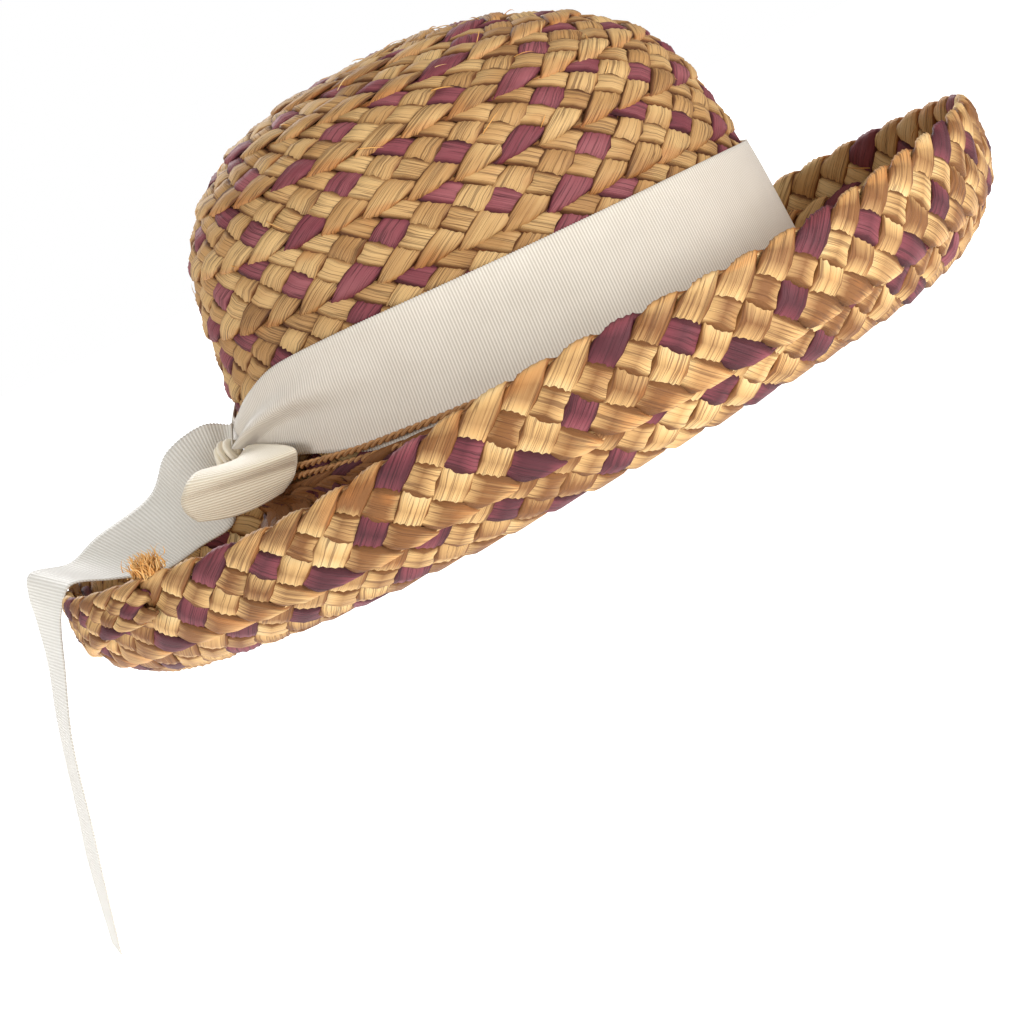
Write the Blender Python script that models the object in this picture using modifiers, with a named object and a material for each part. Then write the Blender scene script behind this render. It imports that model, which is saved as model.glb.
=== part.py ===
"""Plaited straw hat with a ribbon band tied at the back.

The hat stands level: +Z is up the crown, -Y is the front, +X is the wearer's
left. The origin is the middle of the head opening, where the crown meets the
brim. Angles run from the front (0) by the wearer's left (90) to the back (180).
Metres throughout.
"""

import math
from collections import namedtuple

import bmesh
import bpy
from mathutils import Vector

# Driving dimensions of the straw
CROWN_LENGTH = 0.2145
CROWN_WIDTH = 0.176
CROWN_HEIGHT = 0.1315
REACH_FRONT = 0.0722
REACH_BACK = 0.0757
REACH_SIDE = 0.0705
RIM_RISE = 0.0284
BRIM_DROOP = 0.0435
STRAW_WALL = 0.003

# Driving dimensions of the ribbon, the cords and the plait's frayed end
RIBBON_WIDTH = 0.046
RIBBON_WALL = 0.001
BAND_FOOT = 0.0035
BAND_FOLD = 0.0025
KNOT_LENGTH = 0.0135
KNOT_HEIGHT = 0.0125
KNOT_DEPTH = 0.0115
KNOT_DROP = 0.0022
KNOT_ANGLE = 184.0
TAIL_DROP = 0.128
CORD_DIAMETER = 0.002
TUFT_WIDTH = 0.015
TUFT_HEIGHT = 0.008
TUFT_ANGLE = 216.5

# Gap between pieces that touch
CLEARANCE = 0.0003

# Horizontal sections of the crown from its top down. Height is a share of
# CROWN_HEIGHT, width of half CROWN_WIDTH, front and back of half CROWN_LENGTH.
Level = namedtuple("Level", "height width front back")
CROWN_LEVELS = (
    Level(1.000, 0.000, -0.075, 0.075),
    Level(0.992, 0.195, 0.115, 0.245),
    Level(0.966, 0.377, 0.315, 0.455),
    Level(0.916, 0.546, 0.502, 0.628),
    Level(0.837, 0.699, 0.682, 0.770),
    Level(0.730, 0.818, 0.824, 0.878),
    Level(0.601, 0.898, 0.897, 0.932),
    Level(0.456, 0.943, 0.936, 0.952),
    Level(0.304, 0.973, 0.960, 0.969),
    Level(0.152, 0.989, 0.973, 0.988),
    Level(0.000, 1.000, 0.984, 1.016),
)

# Sections of the brim round the crown. Rise is a share of RIM_RISE, droop of
# BRIM_DROOP.
Section = namedtuple("Section", "angle rise droop")
BRIM_SECTIONS = (
    Section(0, 1.00, 0.56),
    Section(30, 0.88, 0.70),
    Section(60, 0.64, 0.77),
    Section(90, 0.48, 0.88),
    Section(120, 0.12, 0.97),
    Section(150, 0.16, 1.00),
    Section(180, 0.05, 1.05),
    Section(210, 0.09, 1.01),
    Section(240, 0.15, 0.96),
    Section(270, 0.58, 0.88),
    Section(300, 0.68, 0.79),
    Section(330, 0.91, 0.70),
)
# How far out, as shares of the reach, the two inner points of the brim's
# section curve stand: the first sets the flare, the second the roll.
BRIM_FLARE = 0.356
BRIM_ROLL = 1.06

# The band's lower and upper edge, by degrees from its knot. Both are shares
# of RIBBON_WIDTH above BAND_FOOT.
Edge = namedtuple("Edge", "angle foot top")
BAND_EDGES = (
    Edge(0, 0.33, 0.66),
    Edge(12, 0.33, 0.70),
    Edge(22, 0.31, 0.82),
    Edge(33, 0.26, 0.94),
    Edge(44, 0.16, 0.98),
    Edge(60, 0.01, 1.00),
    Edge(90, 0.00, 1.00),
    Edge(135, 0.00, 0.98),
    Edge(180, 0.00, 0.93),
)
BAND_FOLDS = 2
FOLD_FADE_ANGLE = 62.0

# Heights of the twisted cords by degrees from the knot, as shares of
# RIBBON_WIDTH.
Run = namedtuple("Run", "angle upper lower")
CORD_RUNS = (
    Run(0, 0.315, 0.245),
    Run(35, 0.255, 0.185),
    Run(50, 0.215, 0.140),
    Run(70, 0.195, 0.095),
    Run(90, 0.180, 0.080),
    Run(135, 0.165, 0.070),
    Run(180, 0.160, 0.065),
)

# The flap from the knot to its cut end. Both edges are given by degrees from
# the back towards the wearer's right, and by their distance outside the crown
# and their height above BAND_FOOT as shares of RIBBON_WIDTH. Bulge lifts the
# middle, also as a share of RIBBON_WIDTH.
Flap = namedtuple("Flap", "front front_out front_height back back_out back_height bulge")
FLAP_ROWS = (
    Flap(19.5, 0.095, 0.456, 9.5, 0.113, 0.370, 0.00),
    Flap(25.9, 0.100, 0.441, 15.0, 0.230, 0.378, 0.00),
    Flap(33.0, 0.113, 0.397, 19.5, 0.432, 0.427, -0.01),
    Flap(38.3, 0.148, 0.354, 22.0, 0.596, 0.451, -0.02),
    Flap(40.6, 0.176, 0.313, 23.0, 0.708, 0.416, -0.02),
    Flap(39.6, 0.156, 0.258, 22.5, 0.757, 0.360, -0.01),
    Flap(37.8, 0.125, 0.206, 21.5, 0.778, 0.300, 0.00),
    Flap(36.2, 0.135, 0.130, 21.5, 0.766, 0.208, -0.02),
    Flap(32.8, 0.180, 0.053, 22.5, 0.711, 0.110, -0.05),
)

# The tail from the knot to its cut end, by its two edges. Side is a share of
# RIBBON_WIDTH from the knot's end towards the wearer's left, out a share of the
# way from the band to the rim, height a share of RIBBON_WIDTH above BAND_FOOT
# and drop a share of TAIL_DROP.
Tail = namedtuple("Tail", "side out height far_side far_out far_height drop far_drop")
TAIL_ROWS = (
    Tail(-0.014, 0.068, 0.400, 0.022, 0.019, 0.620, 0.000, 0.000),
    Tail(-0.100, 0.146, 0.140, 0.050, 0.143, 0.707, 0.000, 0.000),
    Tail(-0.406, 0.178, -0.065, 0.159, 0.352, 0.620, 0.000, 0.000),
    Tail(-0.385, 0.359, -0.120, 0.420, 0.526, 0.348, 0.000, 0.000),
    Tail(-0.320, 0.578, -0.174, 0.507, 0.836, 0.228, 0.000, 0.000),
    Tail(-0.254, 0.797, -0.076, 0.615, 1.017, 0.120, 0.000, 0.000),
    Tail(-0.211, 0.985, 0.024, 0.702, 1.210, 0.174, 0.000, 0.000),
    Tail(-0.167, 1.075, -0.098, 0.746, 1.268, 0.011, 0.000, 0.000),
    Tail(-0.102, 1.133, -0.076, 0.811, 1.292, -0.076, 0.066, 0.047),
    Tail(-0.146, 1.197, -0.076, 0.789, 1.330, -0.076, 0.176, 0.172),
    Tail(-0.189, 1.281, -0.076, 0.767, 1.395, -0.076, 0.316, 0.305),
    Tail(-0.189, 1.333, -0.076, 0.789, 1.445, -0.076, 0.426, 0.418),
    Tail(-0.167, 1.404, -0.076, 0.811, 1.525, -0.076, 0.625, 0.625),
    Tail(-0.124, 1.462, -0.076, 0.854, 1.583, -0.076, 0.766, 0.766),
    Tail(-0.080, 1.546, -0.076, 0.876, 1.647, -0.076, 0.988, 1.000),
)

# Numbers of faces
CROWN_AROUND = 52
CROWN_DOWN = 13
BRIM_AROUND = 60
BRIM_ACROSS = 10
BAND_AROUND = 60
BAND_ACROSS = 8
STRIP_ACROSS = 6
ROWS_PER_STATION = 2
CORD_AROUND = 60
TUFT_AROUND = 14
TUFT_DOWN = 8

MERGE_DISTANCE = 0.00001


def clear_scene():
    """Remove every object, mesh and material of the open file."""
    for item in list(bpy.data.objects):
        bpy.data.objects.remove(item, do_unlink=True)
    for group in (bpy.data.meshes, bpy.data.curves, bpy.data.materials):
        for block in list(group):
            group.remove(block)


def make_material(name, colour, roughness):
    """A plain matte finish."""
    material = bpy.data.materials.new(name)
    material.use_nodes = True
    shader = material.node_tree.nodes["Principled BSDF"]
    shader.inputs["Base Color"].default_value = (*colour, 1.0)
    shader.inputs["Roughness"].default_value = roughness
    return material


def add_piece(name, data, material, collection):
    """Put a mesh or curve in the scene as one named piece."""
    piece = bpy.data.objects.new(name, data)
    piece.data.materials.append(material)
    collection.objects.link(piece)
    return piece


def smooth_between(values, place):
    """Catmull-Rom value between values[1] and values[2], place from 0 to 1."""
    before, first, second, after = values
    slope_in = (second - before) / 2
    slope_out = (after - first) / 2
    rest = second - first
    cubic = slope_in + slope_out - 2 * rest
    square = 3 * rest - 2 * slope_in - slope_out
    return ((cubic * place + square) * place + slope_in) * place + first


def table_row(rows, place):
    """The row of a table at a place counted in rows, smoothly between rows."""
    last = len(rows) - 1
    index = min(int(place), last - 1)
    picked = [rows[max(0, min(last, index + step))] for step in (-1, 0, 1, 2)]
    return type(rows[0])(*(smooth_between(column, place - index) for column in zip(*picked)))


def row_at_angle(rows, angle):
    """The row of a table whose first column is an angle that ends at 180."""
    angle = min(angle, rows[-1].angle)
    index = max(i for i in range(len(rows) - 1) if rows[i].angle <= angle)
    share = (angle - rows[index].angle) / (rows[index + 1].angle - rows[index].angle)
    return table_row(rows, index + share)


def from_knot(angle):
    """Degrees between an angle and the knot, from 0 to 180."""
    return abs((angle - KNOT_ANGLE + 180) % 360 - 180)


def fade(place):
    """A smooth step from 0 to 1."""
    place = max(0.0, min(1.0, place))
    return place * place * (3 - 2 * place)


def crown_oval(level):
    """Height, half width, half length and middle of the crown's oval.

    The level runs from 0 at the top to 1 at the foot. The rows past the top
    repeat the first ones turned over, so that the dome is round there.
    """
    place = level * (len(CROWN_LEVELS) - 1)
    if place < 1:
        top, first, second = CROWN_LEVELS[:3]
        mirrored = Level(first.height, -first.width, -first.back, -first.front)
        rows = (mirrored, top, first, second)
        row = Level(*(smooth_between(column, place) for column in zip(*rows)))
    else:
        row = table_row(CROWN_LEVELS, place)
    half_length = CROWN_LENGTH / 4 * (row.front + row.back)
    middle = CROWN_LENGTH / 4 * (row.back - row.front)
    return row.height * CROWN_HEIGHT, row.width * CROWN_WIDTH / 2, half_length, middle


def on_oval(angle, width, length, middle, height):
    """A point of a level oval."""
    turn = math.radians(angle)
    return Vector((width * math.sin(turn), middle - length * math.cos(turn), height))


def crown_point(angle, level):
    """A point of the crown's outer face."""
    height, width, length, middle = crown_oval(level)
    return on_oval(angle, width, length, middle, height)


def level_at(height):
    """The crown's level at a height, found by halving."""
    low, high = 0.0, 1.0
    for _ in range(30):
        half = (low + high) / 2
        if crown_oval(half)[0] > height:
            low = half
        else:
            high = half
    return (low + high) / 2


def outside_crown(angle, height, out):
    """A point at a height, a distance out from the crown."""
    _, width, length, middle = crown_oval(level_at(height))
    return on_oval(angle, width + out, length + out, middle, height)


def brim_section(angle):
    """The brim's rise and droop at any angle, smoothly round the hat."""
    count = len(BRIM_SECTIONS)
    place = (angle % 360) / 360 * count
    index = int(place)
    picked = [BRIM_SECTIONS[(index + step) % count] for step in (-1, 0, 1, 2)]
    rise = smooth_between([row.rise for row in picked], place - index)
    droop = smooth_between([row.droop for row in picked], place - index)
    return rise * RIM_RISE, droop * BRIM_DROOP


def brim_point(angle, share):
    """A point of the brim's upper face, from the crown (0) to the rim (1)."""
    rise, droop = brim_section(angle)
    _, width, length, middle = crown_oval(1.0)
    reach_end = REACH_FRONT if math.cos(math.radians(angle)) > 0 else REACH_BACK
    left = 1 - share
    flare = 3 * share * left * left
    roll = 3 * share * share * left
    rim = share ** 3
    out = flare * BRIM_FLARE + roll * BRIM_ROLL + rim
    height = rim * rise - (flare + roll) * droop - CLEARANCE
    return on_oval(angle, width + out * REACH_SIDE, length + out * reach_end, middle, height)


def sheet_mesh(name, columns, rows, place):
    """A grid whose points are moved by place(a, b), a and b from 0 to 1."""
    grid = bmesh.new()
    bmesh.ops.create_grid(grid, x_segments=columns, y_segments=rows, size=0.5)
    for point in grid.verts:
        point.co = place(point.co.x + 0.5, point.co.y + 0.5)
    bmesh.ops.remove_doubles(grid, verts=grid.verts, dist=MERGE_DISTANCE)
    mesh = bpy.data.meshes.new(name)
    grid.to_mesh(mesh)
    grid.free()
    mesh.shade_smooth()
    mesh.set_sharp_from_angle(angle=math.radians(50))
    return mesh


def add_wall(piece, thickness, side):
    """Give a surface its wall: side 1 grows outwards, -1 inwards, 0 both."""
    wall = piece.modifiers.new("wall", "SOLIDIFY")
    wall.thickness = thickness
    wall.offset = side
    wall.use_even_offset = True


def make_crown(material, collection):
    """The domed crown, one wall of straw open at the foot."""
    def place(around, up):
        return crown_point(360 * around, 1 - up)
    mesh = sheet_mesh("crown", CROWN_AROUND, CROWN_DOWN, place)
    add_wall(add_piece("crown", mesh, material, collection), STRAW_WALL, -1)


def make_brim(material, collection):
    """The brim, which droops from the crown and rolls up to the rim."""
    def place(around, inward):
        return brim_point(360 * around, 1 - inward)
    mesh = sheet_mesh("brim", BRIM_AROUND, BRIM_ACROSS, place)
    add_wall(add_piece("brim", mesh, material, collection), STRAW_WALL, -1)


def make_band(material, collection):
    """The ribbon round the crown, with folds that run out from the knot."""
    def place(around, up):
        angle = 360 * around
        away = from_knot(angle)
        edge = row_at_angle(BAND_EDGES, away)
        height = BAND_FOOT + RIBBON_WIDTH * (edge.foot + (edge.top - edge.foot) * up)
        knot_half = math.degrees(KNOT_LENGTH / CROWN_WIDTH)
        depth = fade(away / knot_half - 1) * fade(1 - away / FOLD_FADE_ANGLE)
        wave = (1 - math.cos(2 * math.pi * BAND_FOLDS * up)) / 2
        return outside_crown(angle, height, CLEARANCE + BAND_FOLD * depth * wave)
    mesh = sheet_mesh("ribbon_band", BAND_AROUND, BAND_ACROSS, place)
    add_wall(add_piece("ribbon_band", mesh, material, collection), RIBBON_WALL, 1)


def knot_middle():
    """The knot's middle, which seats it on the band a little below its middle."""
    edge = BAND_EDGES[0]
    height = BAND_FOOT + RIBBON_WIDTH * (edge.foot + edge.top) / 2 - KNOT_DROP
    out = CLEARANCE + RIBBON_WALL + CLEARANCE + KNOT_DEPTH / 2
    return outside_crown(KNOT_ANGLE, height, out)


def make_knot(material, collection):
    """The knot: a small barrel with the ribbon's wraps raised on it."""
    middle = knot_middle()
    half = Vector((KNOT_LENGTH, KNOT_DEPTH, KNOT_HEIGHT)) / 2
    ball = bmesh.new()
    bmesh.ops.create_uvsphere(ball, u_segments=16, v_segments=12, radius=1.0)
    for point in ball.verts:
        side = point.co
        wraps = 0.93 + 0.07 * math.cos(9 * side.x + 3 * side.z)
        point.co = middle + Vector([wraps * size * axis for size, axis in zip(half, side)])
    mesh = bpy.data.meshes.new("bow_knot")
    ball.to_mesh(mesh)
    ball.free()
    mesh.shade_smooth()
    add_piece("bow_knot", mesh, material, collection)


def strip_rows(table):
    """Faces along a strip that is given by a table."""
    return (len(table) - 1) * ROWS_PER_STATION


def make_flap(material, collection):
    """The ribbon's short end, rolled over beside the knot."""
    last = len(FLAP_ROWS) - 1

    def place(across, along):
        row = table_row(FLAP_ROWS, along * last)
        angle = row.front + (row.back - row.front) * across
        out = row.front_out + (row.back_out - row.front_out) * across
        height = row.front_height + (row.back_height - row.front_height) * across
        height += row.bulge * math.sin(math.pi * across)
        edge = BAND_FOOT + RIBBON_WIDTH * height
        return outside_crown(180 + angle, edge, RIBBON_WIDTH * out)
    mesh = sheet_mesh("bow_flap", STRIP_ACROSS, strip_rows(FLAP_ROWS), place)
    add_wall(add_piece("bow_flap", mesh, material, collection), RIBBON_WALL, 0)


def make_tail(material, collection):
    """The ribbon's long end, over the back of the brim and down."""
    last = len(TAIL_ROWS) - 1
    knot = knot_middle()
    knot_end = knot.x + KNOT_LENGTH / 2 + CLEARANCE + RIBBON_WALL / 2
    start = knot.y - KNOT_DEPTH / 2
    rim = brim_point(180, 1.0).y

    def edge_point(side, out, height, drop):
        return Vector((
            knot_end + side * RIBBON_WIDTH,
            start + out * (rim - start),
            BAND_FOOT + height * RIBBON_WIDTH - drop * TAIL_DROP,
        ))

    def place(across, along):
        row = table_row(TAIL_ROWS, along * last)
        near = edge_point(row.side, row.out, row.height, row.drop)
        far = edge_point(row.far_side, row.far_out, row.far_height, row.far_drop)
        return near.lerp(far, across)
    mesh = sheet_mesh("ribbon_tail", STRIP_ACROSS, strip_rows(TAIL_ROWS), place)
    add_wall(add_piece("ribbon_tail", mesh, material, collection), RIBBON_WALL, 0)


def make_cord(name, column, material, collection):
    """One run of cord, closed round the band."""
    curve = bpy.data.curves.new(name, "CURVE")
    curve.dimensions = "3D"
    curve.bevel_depth = CORD_DIAMETER / 2
    curve.bevel_resolution = 1
    spline = curve.splines.new("POLY")
    spline.points.add(CORD_AROUND - 1)
    spline.use_cyclic_u = True
    out = CLEARANCE + RIBBON_WALL + CLEARANCE + CORD_DIAMETER / 2
    for index, point in enumerate(spline.points):
        angle = 360 * index / CORD_AROUND
        share = getattr(row_at_angle(CORD_RUNS, from_knot(angle)), column)
        point.co = (*outside_crown(angle, share * RIBBON_WIDTH, out), 1.0)
    add_piece(name, curve, material, collection)


def make_tuft(material, collection):
    """The frayed end of the plait: short locks fused to a round core."""
    seat = brim_point(TUFT_ANGLE, 1.0) + Vector((0, 0, CLEARANCE + TUFT_HEIGHT / 2))
    ball = bmesh.new()
    bmesh.ops.create_uvsphere(ball, u_segments=TUFT_AROUND, v_segments=TUFT_DOWN, radius=1.0)
    for point in ball.verts:
        turn = math.atan2(point.co.y, point.co.x)
        lock = math.cos(TUFT_AROUND / 2 * turn) * math.hypot(point.co.x, point.co.y)
        spread = (0.86 + 0.14 * lock) * TUFT_WIDTH / 2
        lift = TUFT_HEIGHT / 2
        point.co = seat + Vector((point.co.x * spread, point.co.y * spread, point.co.z * lift))
    mesh = bpy.data.meshes.new("braid_tuft")
    ball.to_mesh(mesh)
    ball.free()
    mesh.shade_smooth()
    add_piece("braid_tuft", mesh, material, collection)


def main():
    """Build the hat."""
    clear_scene()
    hat = bpy.data.collections.new("straw_hat")
    bpy.context.scene.collection.children.link(hat)
    straw = make_material("straw", (0.62, 0.42, 0.19), 0.7)
    ribbon = make_material("ribbon", (0.78, 0.72, 0.62), 0.55)
    cord = make_material("cord", (0.36, 0.17, 0.06), 0.7)
    make_crown(straw, hat)
    make_brim(straw, hat)
    make_tuft(straw, hat)
    make_band(ribbon, hat)
    make_knot(ribbon, hat)
    make_flap(ribbon, hat)
    make_tail(ribbon, hat)
    make_cord("cord_upper", "upper", cord, hat)
    make_cord("cord_lower", "lower", cord, hat)


main()
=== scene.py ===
"""Dresses the straw hat: plaited crown and brim, ribbon with its knot, cords and frayed end."""

import logging
import math
from dataclasses import dataclass, field
from enum import Enum

import bpy
import numpy as np
from mathutils import Matrix, Vector


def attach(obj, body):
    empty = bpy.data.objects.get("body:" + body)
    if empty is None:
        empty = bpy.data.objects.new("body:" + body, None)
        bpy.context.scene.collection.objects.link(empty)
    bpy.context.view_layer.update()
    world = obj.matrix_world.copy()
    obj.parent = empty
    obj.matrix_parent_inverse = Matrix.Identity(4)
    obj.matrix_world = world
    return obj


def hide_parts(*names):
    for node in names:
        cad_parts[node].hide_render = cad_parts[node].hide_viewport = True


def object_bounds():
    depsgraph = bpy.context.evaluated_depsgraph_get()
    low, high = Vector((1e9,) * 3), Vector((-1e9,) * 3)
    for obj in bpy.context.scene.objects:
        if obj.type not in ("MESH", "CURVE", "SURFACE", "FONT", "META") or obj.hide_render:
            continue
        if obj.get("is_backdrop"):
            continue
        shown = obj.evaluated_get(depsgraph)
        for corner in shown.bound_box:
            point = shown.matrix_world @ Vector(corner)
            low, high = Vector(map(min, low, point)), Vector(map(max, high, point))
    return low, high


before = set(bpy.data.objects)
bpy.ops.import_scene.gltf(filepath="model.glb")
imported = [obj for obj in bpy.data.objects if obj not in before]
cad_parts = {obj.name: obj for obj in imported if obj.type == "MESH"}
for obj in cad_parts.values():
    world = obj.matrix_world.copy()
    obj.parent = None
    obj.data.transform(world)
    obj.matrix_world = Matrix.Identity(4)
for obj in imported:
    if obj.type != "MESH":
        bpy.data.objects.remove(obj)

LOG = logging.getLogger("straw_hat")
BODY = "root"


class CordRun(Enum):
    """One of the cord's two runs, by its column in the table of runs."""

    UPPER = 1
    LOWER = 2


def blend_rows(rows: np.ndarray, place: np.ndarray) -> np.ndarray:
    """Read a table smoothly between its rows.

    Args:
        rows: The table, one row for each station.
        place: Places counted in rows.

    Returns:
        One row of values for each place.
    """
    last = len(rows) - 1
    place = np.clip(np.asarray(place, dtype=float), 0.0, last)
    index = np.minimum(place.astype(int), last - 1)
    part = (place - index)[..., None]
    before, first = rows[np.maximum(index - 1, 0)], rows[index]
    second, after = rows[index + 1], rows[np.minimum(index + 2, last)]
    slope_in, slope_out, rest = (second - before) / 2, (after - first) / 2, second - first
    cubic = slope_in + slope_out - 2 * rest
    square = 3 * rest - 2 * slope_in - slope_out
    return ((cubic * part + square) * part + slope_in) * part + first


def soft_step(place: np.ndarray) -> np.ndarray:
    """A smooth step from 0 to 1."""
    place = np.clip(place, 0.0, 1.0)
    return place * place * (3 - 2 * place)


def wander(seed: int, along: np.ndarray, step: float, count: int) -> np.ndarray:
    """Smooth chance values along a line, the same on every run.

    Args:
        seed: Number that picks the values.
        along: Places on the line, in metres.
        step: Distance between two chance values.
        count: How many values each place gets.

    Returns:
        Values from -1 to 1, one row for each place.
    """
    start = along.min()
    knots = int((along.max() - start) / step) + 3
    values = np.random.RandomState(seed).uniform(-1, 1, (knots, count))
    return blend_rows(values, (along - start) / step)


def on_oval(turn: np.ndarray, width: np.ndarray, length: np.ndarray,
            middle: np.ndarray, height: np.ndarray) -> np.ndarray:
    """Points of level ovals, the turn counted from the front by the wearer's left."""
    return np.stack(np.broadcast_arrays(
        width * np.sin(turn), middle - length * np.cos(turn), height), axis=-1)


@dataclass
class Surface:
    """A face of the hat that a plait is laid on, from row 0 at its top or inner edge."""

    rows: float = 1.0

    def point(self, turn: np.ndarray, row: np.ndarray) -> np.ndarray:
        """Points of the face at a turn about the hat and a row."""
        raise NotImplementedError

    def mean_arc(self, places: np.ndarray) -> np.ndarray:
        """Share of the way down the face at evenly spaced places, over all sides."""
        turns = np.linspace(0, 2 * math.pi, 24, endpoint=False)
        points = self.raw(turns[:, None], places[None, :])
        steps = np.linalg.norm(np.diff(points, axis=1), axis=2).mean(axis=0)
        arc = np.concatenate([[0.0], np.cumsum(steps)])
        self.depth = float(arc[-1])
        return arc / arc[-1]

    def stand(self, turn: np.ndarray, row: np.ndarray, out: np.ndarray) -> np.ndarray:
        """Points that stand a distance out from the face."""
        turn_step, row_step = 0.004, 0.01
        across = self.point(turn + turn_step, row) - self.point(turn - turn_step, row)
        down = self.point(turn, row + row_step) - self.point(turn, row - row_step)
        normal = np.cross(down, across) * np.where(row < 0, -1.0, 1.0)[..., None]
        normal += np.array([0.0, 0.0, 1e-12])
        normal /= np.linalg.norm(normal, axis=-1, keepdims=True)
        return self.point(turn, row) + normal * np.asarray(out)[..., None]


@dataclass
class CrownFace(Surface):
    """The crown's outer face, as the solid crown has it."""

    length: float = 0.2145
    width: float = 0.176
    height: float = 0.1315
    rows: float = 8.3
    levels: tuple = (
        (1.000, 0.000, -0.075, 0.075), (0.992, 0.195, 0.115, 0.245),
        (0.966, 0.377, 0.315, 0.455), (0.916, 0.546, 0.502, 0.628),
        (0.837, 0.699, 0.682, 0.770), (0.730, 0.818, 0.824, 0.878),
        (0.601, 0.898, 0.897, 0.932), (0.456, 0.943, 0.936, 0.952),
        (0.304, 0.973, 0.960, 0.969), (0.152, 0.989, 0.973, 0.988),
        (0.000, 1.000, 0.984, 1.016),
    )

    def __post_init__(self) -> None:
        """Measure the way down the face once."""
        table = np.array(self.levels)
        high, wide, front, back = table[1]
        self.table = np.vstack([[high, -wide, -back, -front], table])
        self.places = np.linspace(0, 1, 301)
        self.arc = self.mean_arc(self.places)

    def oval(self, level: np.ndarray) -> tuple:
        """Half width, half length, middle and height of the oval at a level."""
        row = blend_rows(self.table, level * (len(self.levels) - 1) + 1)
        high, wide, front, back = np.moveaxis(row, -1, 0)
        return (wide * self.width / 2, self.length / 4 * (front + back),
                self.length / 4 * (back - front), high * self.height)

    def raw(self, turn: np.ndarray, level: np.ndarray) -> np.ndarray:
        """Points at a level from 0 at the top to 1 at the foot."""
        return on_oval(turn, *self.oval(level))

    def point(self, turn: np.ndarray, row: np.ndarray) -> np.ndarray:
        """Points at a row, where a row below 0 is past the top."""
        turn = np.where(row < 0, turn + math.pi, turn)
        return self.raw(turn, np.interp(np.abs(row) / self.rows, self.arc, self.places))

    def outside(self, angle: np.ndarray, height: np.ndarray, out: np.ndarray) -> np.ndarray:
        """Points at a height and a distance outside the crown, angles in degrees."""
        heights = self.oval(self.places)[3]
        level = np.interp(-np.asarray(height), -heights, self.places)
        wide, long, middle, _ = self.oval(level)
        return on_oval(np.radians(angle), wide + out, long + out, middle, height)


@dataclass
class BrimFace(Surface):
    """The brim's upper face, as the solid brim has it."""

    crown: CrownFace = field(default_factory=CrownFace)
    reach_front: float = 0.0722
    reach_back: float = 0.0757
    reach_side: float = 0.0705
    rise: float = 0.0284
    droop: float = 0.0435
    flare: float = 0.356
    roll: float = 1.06
    rows: float = 4.0
    sections: tuple = (
        (1.00, 0.56), (0.88, 0.70), (0.64, 0.77), (0.48, 0.88), (0.12, 0.97), (0.16, 1.00),
        (0.05, 1.05), (0.09, 1.01), (0.15, 0.96), (0.58, 0.88), (0.68, 0.79), (0.91, 0.70),
    )

    def __post_init__(self) -> None:
        """Measure the way over the face once."""
        table = np.array(self.sections)
        self.table = np.vstack([table[-1:], table, table[:2]])
        self.foot = [float(value) for value in self.crown.oval(np.array(1.0))]
        self.places = np.linspace(0, 1, 201)
        self.arc = self.mean_arc(self.places)

    def raw(self, turn: np.ndarray, share: np.ndarray) -> np.ndarray:
        """Points from the crown's foot (0) to the rim (1)."""
        turn, share = np.broadcast_arrays(turn, share)
        place = (turn / (2 * math.pi) % 1) * len(self.sections) + 1
        rise, droop = np.moveaxis(blend_rows(self.table, place), -1, 0)
        wide, long, middle, _ = self.foot
        end = np.where(np.cos(turn) > 0, self.reach_front, self.reach_back)
        left = 1 - share
        flare, roll, rim = 3 * share * left ** 2, 3 * share ** 2 * left, share ** 3
        out = flare * self.flare + roll * self.roll + rim
        height = rim * rise * self.rise - (flare + roll) * droop * self.droop
        return on_oval(turn, wide + out * self.reach_side, long + out * end, middle, height)

    def point(self, turn: np.ndarray, row: np.ndarray) -> np.ndarray:
        """Points at a row counted from the crown's foot; past either edge it runs on straight."""
        share = np.interp(row / self.rows, self.arc, self.places)
        past = (row - np.clip(row, 0.0, self.rows))[..., None] / self.rows * self.depth
        edge = self.raw(turn, share)
        way = self.raw(turn, np.minimum(share + 0.01, 1.0)) - self.raw(
            turn, np.maximum(share - 0.01, 0.0))
        way /= np.linalg.norm(way, axis=-1, keepdims=True)
        return edge + way * past


@dataclass
class Course:
    """The spiral that one plait follows over a face, row after row.

    Args:
        face: What it is laid on.
        first: Row of the plait's middle at its start.
        last: Row of the plait's middle at its end.
        settle: Turns that it stays level before it starts to wind outwards.
        finish: Turns that it stays level at its end.
        end_angle: Where it ends, in degrees.
    """

    face: Surface
    first: float
    last: float
    settle: float
    finish: float
    end_angle: float

    def __post_init__(self) -> None:
        """Measure the spiral once."""
        self.turns = self.settle + self.last - self.first + self.finish
        self.steps = np.linspace(0, self.turns, int(self.turns * 240))
        points = self.face.point(self.turn(self.steps), self.middle(self.steps))
        walked = np.cumsum(np.linalg.norm(np.diff(points, axis=0), axis=1))
        self.walked = np.concatenate([[0.0], walked])
        self.length = float(self.walked[-1])

    def turn(self, step: np.ndarray) -> np.ndarray:
        """Angle in radians after a number of turns."""
        return math.radians(self.end_angle) + 2 * math.pi * (step - self.turns)

    def middle(self, step: np.ndarray) -> np.ndarray:
        """Row of the plait's middle after a number of turns."""
        return self.first + np.clip(step - self.settle, 0, self.last - self.first)

    def at(self, along: np.ndarray) -> tuple:
        """Turn, row and turns left to the end at a length along the plait."""
        step = np.interp(along, self.walked, self.steps)
        over = along - np.clip(along, 0, self.length)
        rate = 2 * math.pi * np.gradient(self.steps)[0] / np.diff(self.walked).mean()
        return self.turn(step) + over * rate, self.middle(step), self.turns - step


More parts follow.
